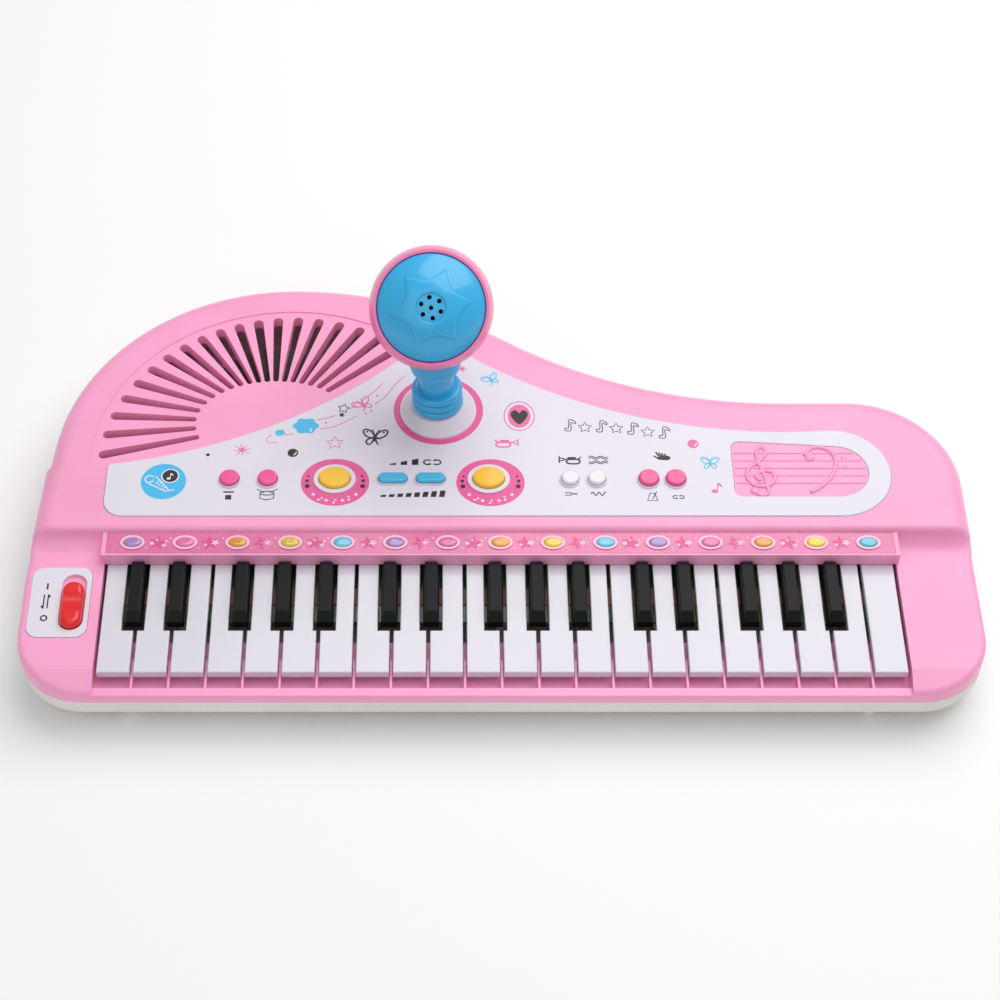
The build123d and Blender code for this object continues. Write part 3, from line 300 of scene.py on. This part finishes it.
def waves(x, y, size=1.35):
    shapes = []
    for row, rise in ((1.3, 1), (0.6, 1), (-0.8, -1), (-1.5, -1)):
        line = [(-3.3 + 0.3 * i, row + 0.33 * rise * math.sin(1.9 * 0.3 * i)) for i in range(23)]
        shapes.append(stroke(line, 0.32))
    return [moved(shape, x, y, 0, size) for shape in shapes]


def hands(x, y, size=1.5):
    """Two clapping palms: short fingers over a rounded heel."""
    heel = [(-1.4, -0.9), (1.6, -1.3), (2.6, -0.4), (1.6, 0.5), (-0.6, 0.3)]
    shapes = [[smooth(heel, closed=True)]]
    for i in range(4):
        shapes.append(stroke([(-1.0 + 0.7 * i, 0.2), (-1.9 + 0.9 * i, 2.0 - 0.25 * i)], 0.5))
    shapes.append(stroke([(-2.6, 0.4), (-1.2, -0.6)], 0.5))
    return [moved(shape, x, y, 0, size) for shape in shapes]


def bars(x, y, size=1.0):
    """Three blocks that grow from left to right."""
    heights = ((0.6, 1.2), (1.8, 2.5), (3.0, 3.8))
    shapes = []
    for left, (low, high) in zip((-6.7, -1.5, 3.7), heights):
        shapes.append([[(left, 0), (left + 3.0, 0), (left + 3.0, high), (left, low)]])
    return [moved(shape, x, y, 0, size) for shape in shapes]


def moon(x, y, radius):
    """A disc with a crescent left out of it."""
    hole = [(0.25, -0.65), (0.7, -0.1), (0.6, 0.45), (0.45, 0.0), (0.1, -0.4)]
    return [moved([ellipse(1, 1, 0, 0, 28), smooth(hole, closed=True, steps=4)], x, y, 0, radius)]


def cloud(x, y, size):
    """A puff with six round lobes."""
    rim = [(math.cos(t) * (1 + 0.09 * math.cos(6 * t)), 0.8 * math.sin(t) * (1 + 0.09 * math.cos(6 * t)))
           for t in (2 * math.pi * i / 60 for i in range(60))]
    return [moved([rim, ellipse(0.1, 0.22, 0.42, -0.45, 12)], x, y, 0, size)]


# ---------------------------------------------------------------- pieces

def height(node, x, y):
    """Height in mm of a CAD node's top surface at a place on the case."""
    start = Vector((x * MM, FRONT + y * MM, 1))
    hit, where, _, _ = nodes[node].ray_cast(start, Vector((0, 0, -1)))
    if not hit:
        raise ValueError(f"{node} has no surface at {x}, {y}")
    return where.z / MM


def fill(mesh, loops, low, high):
    """Adds a closed slab with that outline and those holes."""
    triangles = tessellate_polygon([[Vector((u, v, 0)) for u, v in loop] for loop in loops])
    flat = [(u, v) for loop in loops for u, v in loop]
    tops = [mesh.verts.new((u * MM, FRONT + v * MM, high * MM)) for u, v in flat]
    feet = [mesh.verts.new((u * MM, FRONT + v * MM, low * MM)) for u, v in flat]
    for a, b, c in triangles:
        if len({a, b, c}) == 3:
            mesh.faces.new((tops[a], tops[b], tops[c]))
            mesh.faces.new((feet[c], feet[b], feet[a]))
    start = 0
    for loop in loops:
        for i in range(len(loop)):
            j = (i + 1) % len(loop)
            mesh.faces.new((tops[start + i], tops[start + j], feet[start + j], feet[start + i]))
        start += len(loop)


def add_piece(name, mesh, material, body="root", shade_smooth=False):
    """Turns a bmesh into a piece that rides on a body."""
    bmesh.ops.recalc_face_normals(mesh, faces=mesh.faces)
    data = bpy.data.meshes.new(name)
    mesh.to_mesh(data)
    mesh.free()
    if shade_smooth:
        data.polygons.foreach_set("use_smooth", [True] * len(data.polygons))
    data.materials.append(material)
    piece = bpy.data.objects.new(name, data)
    bpy.context.scene.collection.objects.link(piece)
    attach(piece, body)
    return piece


def print_on(name, shapes, colour, top, layer=0):
    """Flat printed shapes of one colour, a little above the surface."""
    mesh = bmesh.new()
    for index, shape in enumerate(shapes):
        rise = PRINT * (1 + layer) + PRINT_STEP * (index % 5)
        fill(mesh, shape, top - PRINT_ROOT, top + rise)
    return add_piece(name, mesh, ink[colour])


def tube(name, points, radius, material, slot, body="root", caps=True):
    """A round bar along points given in metres."""
    curve = bpy.data.curves.new(name, "CURVE")
    curve.dimensions = "3D"
    curve.bevel_depth = radius * MM
    curve.bevel_resolution = 4
    curve.use_fill_caps = caps
    line = curve.splines.new("POLY")
    line.points.add(len(points) - 1)
    for spot, place in zip(line.points, points):
        spot.co = (*place, 1)
    maker = bpy.data.objects.new(name + "_line", curve)
    data = bpy.data.meshes.new_from_object(maker)
    bpy.data.objects.remove(maker)
    bpy.data.curves.remove(curve)
    mesh = bmesh.new()
    mesh.from_mesh(data)
    bpy.data.meshes.remove(data)
    return add_piece(name, mesh, material, body, shade_smooth=True)


# ---------------------------------------------------------------- control panel prints

MIC = (-28.5, 153.3)
panel_top = height("face_panels", 0, 95)


def demo_ovals():
    """Magenta oval round each yellow button, with dots that grow and small light notes."""
    rings, dots, notes = [], [], []
    for button, centre in (("demo_one_button", (-76.4, 109.2)), ("demo_all_button", (-4.2, 109.0))):
        low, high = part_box(button)
        x = (low.x + high.x) / 2 / MM
        y = ((low.y + high.y) / 2 - FRONT) / MM
        rings.append([ellipse(15.9, 14.0, *centre, 72), ellipse(9.9, 8.6, x, y, 60)])
        for side in (-1, 1):
            for angle, reach in ((18, 0.55), (4, 0.85), (-12, 1.15)):
                turn = math.radians(angle if side > 0 else 180 - angle)
                spot = (centre[0] + 13.1 * math.cos(turn), centre[1] + 11.5 * math.sin(turn))
                dots.append([ellipse(reach, reach, *spot, 20)])
        for step, angle in enumerate((-140, -123, -107, -90, -73, -57, -40)):
            turn = math.radians(angle)
            spot = (centre[0] + 12.9 * math.cos(turn), centre[1] + 11.4 * math.sin(turn))
            if step % 2:
                notes += note(spot[0] - 0.4, spot[1] - 0.9, 0.42, angle + 90)
            else:
                notes.append(moved([star(5, 1.2, 0.5)], *spot, angle + 90))
    print_on("demo_oval_print", rings, "magenta", panel_top)
    print_on("demo_dot_print", dots, "black", panel_top, 1)
    print_on("demo_note_print", notes, "white", panel_top, 1)


def microphone_marks():
    """Magenta ring round the boss, and the round microphone sign at the left."""
    ring = [ellipse(21.3, 21.3, *MIC, 96), ellipse(18.05, 18.05, *MIC, 96)]
    print_on("boss_ring_print", [ring], "magenta", panel_top)
    x, y = -156.1, 109.6
    print_on("sign_disc_print", [[ellipse(10.5, 10.5, x, y, 64)]], "blue", panel_top)
    white = [
        stroke(smooth([(-4.6, 0.2), (-7.4, -0.8), (-8.6, 1.3), (-7.4, 3.3), (-4.8, 3.0)]), 0.6),
        stroke([(-6.6, -1.5), (-3.7, 3.0), (2.6, -4.9), (1.9, -6.2)], 0.6, closed=True),
        stroke([(2.3, -5.6), (3.2, -5.7), (4.1, -5.0), (5.4, -5.2)], 0.5),
        [ellipse(4.2, 4.2, 2.9, 3.2, 36)],
    ]
    for rung in range(4):
        t = 0.3 + 0.17 * rung
        white.append(stroke([(-5.9 + 7.6 * t, 0.0 - 5.3 * t), (-4.0 + 6.6 * t, 2.6 - 7.2 * t)], 0.45))
    print_on("sign_line_print", [moved(shape, x, y) for shape in white], "white", panel_top, 1)
    print_on("sign_dot_print", [[ellipse(3.6, 3.6, x + 2.9, y + 3.2, 32)]], "black", panel_top, 2)
    print_on("sign_note_print", note(x + 2.3, y + 1.6, 0.62), "white", panel_top, 3)


def black_prints():
    shapes = [[ellipse(0.9, 0.9, -136.5, 125.7, 16)]]
    shapes += moon(-96.7, 126.9, 2.5)
    shapes.append(moved(stroke(star(5, 2.9, 1.5, 80), 0.5, closed=True), -73.6, 154.4))
    shapes.append(moved([star(5, 1.7, 0.8, 70)], -74.4, 150.4))
    shapes += butterfly(-58.4, 136.3, 1.35, -4, 0.6)
    shapes += bars(-44.5, 119.6)
    shapes += loop_arrows(-31.3, 121.2, 1.25)
    shapes += trumpet(33.2, 122.6, 1.3)
    shapes += waves(46.4, 122.7)
    shapes += hands(76.4, 124.4)
    # under the buttons: a square, a drum, a row of level marks, a fork, a ripple and a pendulum
    shapes.append([[(-126.9, 98.9), (-124.1, 98.9), (-124.1, 101.5), (-126.9, 101.5)]])
    shapes.append([[(-127.9, 102.9), (-123.1, 102.9), (-123.1, 103.7), (-127.9, 103.7)]])
    shapes.append(stroke(ellipse(3.2, 1.1, -107.7, 102.6, 24), 0.45, closed=True))
    shapes.append(stroke([(-110.9, 102.6), (-110.9, 99.6), (-107.7, 98.6), (-104.5, 99.6), (-104.5,
                                                                                            102.6)], 0.45))
    shapes.append(stroke([(-109.0, 102.9), (-112.4, 105.0)], 0.4))
    shapes.append(stroke([(-106.4, 102.9), (-103.0, 105.0)], 0.4))
    for step in range(8):
        rise = 1.2 + 0.36 * step
        left = -55.4 + 3.9 * step
        shapes.append([[(left, 100.4), (left + 2.5, 100.4),
                        (left + 3.1, 100.4 + rise), (left + 0.6, 100.4 + rise)]])
    shapes.append(stroke([(30.2, 102.9), (33.2, 102.9), (33.2, 101.5), (30.2, 101.5)], 0.45))
    shapes.append(stroke([(33.2, 102.2), (36.0, 102.2)], 0.6))
    ripple = [(42.3 + 0.3 * i, 102.2 + 1.0 * math.sin(1.35 * 0.3 * i * 1.6)) for i in range(24)]
    shapes.append(stroke(ripple, 0.5))
    shapes.append(stroke([(68.2, 98.4), (69.6, 102.6), (71.6, 102.6), (73.0, 98.4)], 0.45, closed=True))
    shapes.append(stroke([(70.6, 99.3), (72.8, 103.6)], 0.4))
    shapes += loop_arrows(82.6, 100.3, 0.8)
    print_on("black_print", shapes, "black", panel_top)


def title_print():
    """A row of outlined notes and stars where a name would be."""
    shapes = []
    for step in range(7):
        x = 33.5 + 7.4 * step
        y = 143.6 - 0.75 * step - 0.6 * math.cos(step)
        if step % 2:
            shapes.append(moved(stroke(star(5, 3.4, 1.6), 0.42, closed=True), x, y))
        else:
            head = smooth([(-1.9, -2.4), (0.2, -2.6), (0.9, -1.2), (0.8, 2.6), (2.9, 1.9), (2.7, 3.4),
                           (0.0, 4.2),
                           (-0.4, -0.6), (-2.0, -1.0)], closed=True, steps=5)
            shapes.append(moved(stroke(head, 0.42, closed=True), x, y))
    print_on("title_print", shapes, "black", panel_top)


def pink_prints():
    shapes = [moved([star(8, 4.6, 0.9, 100)], -120.7, 128.7)]
    shapes.append(stroke(smooth([(-107.1, 137.9), (-109.3, 135.5), (-108.2, 133.0), (-104.5, 133.6)]), 0.35))
    flows = (
        [(-101.4, 137.9), (-96.7, 138.6)],
        [(-86.1, 147.3), (-81.4, 148.5), (-76.9, 150.2)],
        [(-70.6, 154.2), (-67.8, 156.0)],
        [(-62.7, 161.7), (-58.9, 165.6), (-55.2, 170.7)],
        [(-84.5, 141.7), (-78.4, 142.9), (-72.8, 146.0), (-67.2, 149.8)],
        [(-58.8, 157.3), (-54.1, 161.7), (-48.9, 170.0), (-44.7, 175.2)],
    )
    for flow in flows:
        shapes.append(stroke(smooth(flow), 0.38))
    for spot in ((-81.8, 145.4), (-57.9, 162.4), (-63.0, 151.4), (-60.4, 152.8)):
        shapes.append([ellipse(0.55, 0.55, *spot, 12)])
    shapes.append(moved(stroke(star(5, 4.2, 1.9, 20), 0.5, closed=True), -77.2, 133.0))
    shapes += butterfly(-64.4, 156.7, 1.05, 35, 0.55)
    shapes.append(moved([star(9, 2.6, 0.8)], -17.1, 179.7))
    shapes += trumpet(3.6, 133.0, 1.4, -1, 0.4)
    shapes += moon(91.4, 132.4, 2.6)
    shapes += note(99.6, 103.8, 1.0, -6)
    print_on("pink_print", shapes, "pink", panel_top)
    print_on("emblem_disc_print", [[ellipse(5.4, 7.2, 9.9, 149.6, 40)]], "pink", panel_top)
    ring = [ellipse(7.4, 9.2, 9.9, 149.6, 48), ellipse(6.9, 8.7, 9.9, 149.6, 48)]
    print_on("emblem_ring_print", [ring], "pink", panel_top)
    heart = smooth([(9.9, 144.6), (6.4, 148.6), (6.0, 151.8), (8.2, 153.2), (9.9, 151.4), (11.6, 153.2),
                    (13.8, 151.8), (13.4, 148.6)], closed=True)
    print_on("emblem_heart_print", [[heart]], "black", panel_top, 1)


def blue_prints():
    shapes = cloud(-91.2, 143.5, 5.8) + cloud(-103.3, 139.2, 2.3)
    shapes += butterfly(-3.2, 172.6, 0.95, 28, 0.5)
    shapes += butterfly(98.6, 120.6, 1.0, 0, 0.5)
    print_on("blue_print", shapes, "blue", panel_top)


def switch_prints():
    """On and off marks and two arrows beside the power knob."""
    low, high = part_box("power_knob")
    x = low.x / MM - 7.2
    y = ((low.y + high.y) / 2 - FRONT) / MM + 2.5
    top = height("face_panels", x, y + 11)
    shapes = [
        [[(x - 0.4, y + 7.0), (x + 0.4, y + 7.0), (x + 0.4, y + 10.4), (x - 0.4, y + 10.4)]],
        [ellipse(1.7, 1.7, x, y - 9.0, 24), ellipse(1.0, 1.0, x, y - 9.0, 24)],
        [[(x - 1.2, y - 3.6), (x - 0.6, y - 3.6), (x - 0.6, y + 4.0), (x - 1.2, y + 4.0)]],
        [[(x + 0.6, y - 3.6), (x + 1.2, y - 3.6), (x + 1.2, y + 4.0), (x + 0.6, y + 4.0)]],
        [[(x - 2.2, y - 2.2), (x - 1.2, y - 4.0), (x - 1.2, y - 2.2)]],
        [[(x + 1.2, y + 2.6), (x + 2.2, y + 2.6), (x + 1.2, y + 4.4)]],
    ]
    print_on("switch_print", shapes, "black", top)


# ---------------------------------------------------------------- raised clefs on the badge

def clefs():
    pad = height("upper_case", 116, 133)
    treble = [(118.4, 103.4), (121.6, 101.6), (124.4, 103.6), (123.6, 112.0), (121.4, 121.0), (120.6, 127.0),
              (122.4, 130.6), (125.0, 129.4), (124.6, 125.8), (120.6, 121.2), (116.2, 117.4), (115.4, 112.2),
              (118.6, 107.6), (124.8, 107.4), (128.2, 111.4), (127.0, 115.4), (122.8, 116.2), (119.6, 113.4),
              (121.2, 110.2)]
    bass = [(143.4, 125.4), (146.4, 129.6), (151.4, 130.4), (156.2, 127.2), (157.4, 120.0), (154.2, 112.2),
            (149.0, 106.6), (144.2, 103.6)]
    for name, points in (("treble_clef", treble), ("bass_clef", bass)):
        places = [(u * MM, FRONT + v * MM, (pad + 0.1) * MM) for u, v in smooth(points)]
        tube(name, places, 1.0, finish["case_pink"], "case_pink")
    dots = bmesh.new()
    for x, y, radius in ((118.2, 104.4, 2.1), (145.6, 124.4, 2.5), (161.6, 124.2, 1.3), (161.4, 118.6, 1.3)):
        place = Matrix.Translation((x * MM, FRONT + y * MM, (pad + 0.05) * MM)) @ Matrix.Diagonal((1, 1,
                                                                                                   0.55, 1))
        bmesh.ops.create_uvsphere(dots, u_segments=24, v_segments=12, radius=radius * MM, matrix=place)
    add_piece("clef_dots", dots, finish["case_pink"], shade_smooth=True)


# ---------------------------------------------------------------- indicator strip

LENS_COLOURS = {
    "purple": tint(168, 128, 186),
    "pink": tint(228, 112, 166),
    "orange": tint(240, 152, 56),
    "yellow": tint(238, 196, 50),
    "blue": tint(96, 190, 222),
}
LENS_PITCH = 24.0
STRIP_LINE = 76.1


def lens(mesh, x, y, top):
    """One oval jewel: a raised dome with a flattened crown."""
    rings = []
    for share, rise in ((1.0, 0.0), (0.97, 0.35), (0.86, 0.7), (0.62, 0.9), (0.3, 0.86)):
        rim = ellipse(4.3 * share, 2.8 * share, x, y, 32)
        rings.append([mesh.verts.new((u * MM, FRONT + v * MM, (top + rise) * MM)) for u, v in rim])
    foot = [mesh.verts.new((v.co.x, v.co.y, v.co.z - 0.2 * MM)) for v in rings[0]]
    rings.insert(0, foot)
    for inner, outer in zip(rings[1:], rings):
        for i in range(32):
            j = (i + 1) % 32
            mesh.faces.new((outer[i], outer[j], inner[j], inner[i]))
    mesh.faces.new(rings[-1])
    mesh.faces.new(rings[0][::-1])


def indicators():
    strip = height("indicator_strip", 12, STRIP_LINE)
    top = height("indicator_strip", 0, STRIP_LINE)
    names = list(LENS_COLOURS)
    rims = []
    for place, name in enumerate(names):
        mesh = bmesh.new()
        for turn in range(3):
            x = (place + 5 * turn - 7) * LENS_PITCH
            lens(mesh, x, STRIP_LINE, top)
            rims.append([ellipse(5.6, 4.0, x, STRIP_LINE, 48), ellipse(4.35, 2.85, x, STRIP_LINE, 48)])
        jewel = plastic("lens_" + name, LENS_COLOURS[name], rough=0.12, mottle=0.3, coat=1.0)
        add_piece("lens_" + name, mesh, jewel, shade_smooth=True)
    print_on("lens_rims", rims, "pale", top)
    rose, pale = [], []
    for gap in range(14):
        x = (gap - 6.5) * LENS_PITCH
        rose.append(moved([star(5, 4.3, 1.9, 80 + 20 * (gap % 3))], x - 0.6, STRIP_LINE))
        if gap % 3 == 0:
            pale.append([ellipse(1.0, 1.0, x - 3.1, STRIP_LINE - 0.4, 16)])
            pale.append([ellipse(0.6, 0.6, x - 0.8, STRIP_LINE + 1.4, 14)])
            pale += note(x + 2.4, STRIP_LINE - 1.6, 0.62)
        elif gap % 3 == 1:
            pale.append(moved([star(5, 2.2, 1.0, 60)], x + 1.8, STRIP_LINE))
            pale.append([ellipse(0.7, 0.7, x - 2.6, STRIP_LINE - 1.2, 14)])
        else:
            pale.append(moved([star(8, 3.6, 0.7)], x + 1.6, STRIP_LINE))
        pale.append([ellipse(0.5, 0.5, x + 5.2, STRIP_LINE + 2.6, 12)])
        pale.append([ellipse(0.4, 0.4, x - 5.6, STRIP_LINE - 3.0, 12)])
    print_on("strip_star_print", rose, "rose", strip)
    print_on("strip_sparkle_print", pale, "pale", strip, 1)


# ---------------------------------------------------------------- microphone

HEAD_TILT = math.radians(43.3)
STAR_OUT, STAR_IN, STAR_RISE = 19.6, 12.6, 0.9
STAR_HOLE = 6.6
GAP_R, GAP_RISE, GAP_LINE = 24.75, 10.6, 0.45    # the gap's ring, its height on the axis, half its thickness


def head_frame():
    """Centre of the microphone's ball, its axis and the two directions across it."""
    low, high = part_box("mic_shell")
    radius = (high.x - low.x) / 2
    centre = Vector(((low.x + high.x) / 2, high.y - radius, low.z + radius))
    axis = Vector((0, -math.sin(HEAD_TILT), math.cos(HEAD_TILT)))
    right = Vector((1, 0, 0))
    return centre, axis, right, axis.cross(right)


def mic_star():
    """Six-pointed scalloped star, raised on the microphone's cap and following its dome."""
    centre, axis, right, up = head_frame()
    cap = nodes["mic_grille"]
    mesh = bmesh.new()
    rows = []
    count = 180
    profile = ((0.0, -0.25), (0.0, 0.0), (0.02, 0.55), (0.06, 0.9), (0.12, 1.0), (0.4, 1.0), (0.7, 1.0),
               (0.88, 1.0),
               (0.94, 0.9), (0.985, 0.5), (1.0, 0.0), (1.0, -0.25))
    for i in range(count):
        turn = 2 * math.pi * i / count
        lobe = abs(math.sin(3 * (turn - math.radians(9))))
        reach = STAR_OUT - (STAR_OUT - STAR_IN) * lobe**0.62
        row = []
        for share, rise in profile:
            r = (STAR_HOLE + (reach - STAR_HOLE) * share) * MM
            ray = centre + axis * 0.06 + (right * math.cos(turn) + up * math.sin(turn)) * r
            _, where, _, _ = cap.ray_cast(ray, -axis)
            row.append(mesh.verts.new(where + axis * STAR_RISE * rise * MM))
        rows.append(row)
    for a, b in zip(rows, rows[1:] + rows[:1]):
        for k in range(len(profile)):
            n = (k + 1) % len(profile)
            mesh.faces.new((a[k], a[n], b[n], b[k]))
    add_piece("mic_star", mesh, finish["mic_blue"], "microphone", shade_smooth=True)


def gap_ring():
    """Painted shade: a dark purple ring laid in the gap round the microphone's cap, standing in for the
    shadow down in that gap.
    """
    centre, axis, right, up = head_frame()
    rim = []
    for i in range(97):
        turn = 2 * math.pi * i / 96
        across = right * math.cos(turn) + up * math.sin(turn)
        rim.append(centre + axis * GAP_RISE * MM + across * GAP_R * MM)
    # painted shade: this ring's dark purple is the shadow inside the gap, not a coloured part of the
    # microphone
    shade = plastic("painted_gap_shade", tint(90, 30, 130), rough=0.5)
    tube("mic_gap_shade_ring", rim, GAP_LINE, shade, "mic_blue", "microphone", caps=False)


# ---------------------------------------------------------------- what shows inside

def speaker_wire():
    """Red wire under the grille, from the speaker towards the button board."""
    low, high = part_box("speaker")
    x, y, z = (low.x + high.x) / 2, low.y, high.z
    route = [(x + 0.004, y + 0.012, z - 0.004), (x + 0.002, y + 0.004, z - 0.001), (x + 0.006,
                                                                                    y - 0.004, z - 0.003),
             (x + 0.012, y - 0.016, z - 0.008), (x + 0.02, y - 0.03, z - 0.011)]
    red = plastic("wire_red", tint(205, 20, 40), rough=0.4)
    tube("speaker_wire", smooth(route), 0.8, red, "knob_red")


# ---------------------------------------------------------------- stage

def stage():
    """Pale floor, soft light from the upper right and the camera."""
    bpy.ops.mesh.primitive_plane_add(size=8)
    floor = bpy.context.object
    floor.name = "floor"
    floor.data.materials.append(plastic("floor", (0.98, 0.98, 0.98), rough=0.9, mottle=0.0, relief=0))

    world = bpy.data.worlds.new("studio")
    world.use_nodes = True
    world.node_tree.nodes["Background"].inputs["Color"].default_value = (1, 1, 1, 1)
    world.node_tree.nodes["Background"].inputs["Strength"].default_value = 0.4
    bpy.context.scene.world = world
    bpy.context.scene.view_settings.view_transform = "Standard"

    lights = {
        "key_light": ((0.4, 0.45, 1.15), 1.4, 13.5),
        "fill_light": ((-0.4, -0.9, 1.0), 1.4, 3.5),
    }
    for name, (place, size, power) in lights.items():
        data = bpy.data.lights.new(name, "AREA")
        data.size = size
        data.energy = power
        lamp = bpy.data.objects.new(name, data)
        lamp.location = place
        lamp.rotation_euler = (Vector((0, 0, 0.03)) - Vector(place)).to_track_quat("-Z", "Y").to_euler()
        bpy.context.scene.collection.objects.link(lamp)

    lens_data = bpy.data.cameras.new("camera")
    lens_data.lens = 83.8
    lens_data.sensor_width = 36
    lens_data.shift_x = 0.053
    camera = bpy.data.objects.new("camera", lens_data)
    camera.location = (-0.0244, -0.6903, 0.8798)
    camera.rotation_euler = (math.radians(90 - 51.4), 0, 0)
    bpy.context.scene.collection.objects.link(camera)
    bpy.context.scene.camera = camera


stage()
paint_frame()
demo_ovals()
microphone_marks()
black_prints()
title_print()
pink_prints()
blue_prints()
switch_prints()
clefs()
indicators()
mic_star()
gap_ring()
speaker_wire()
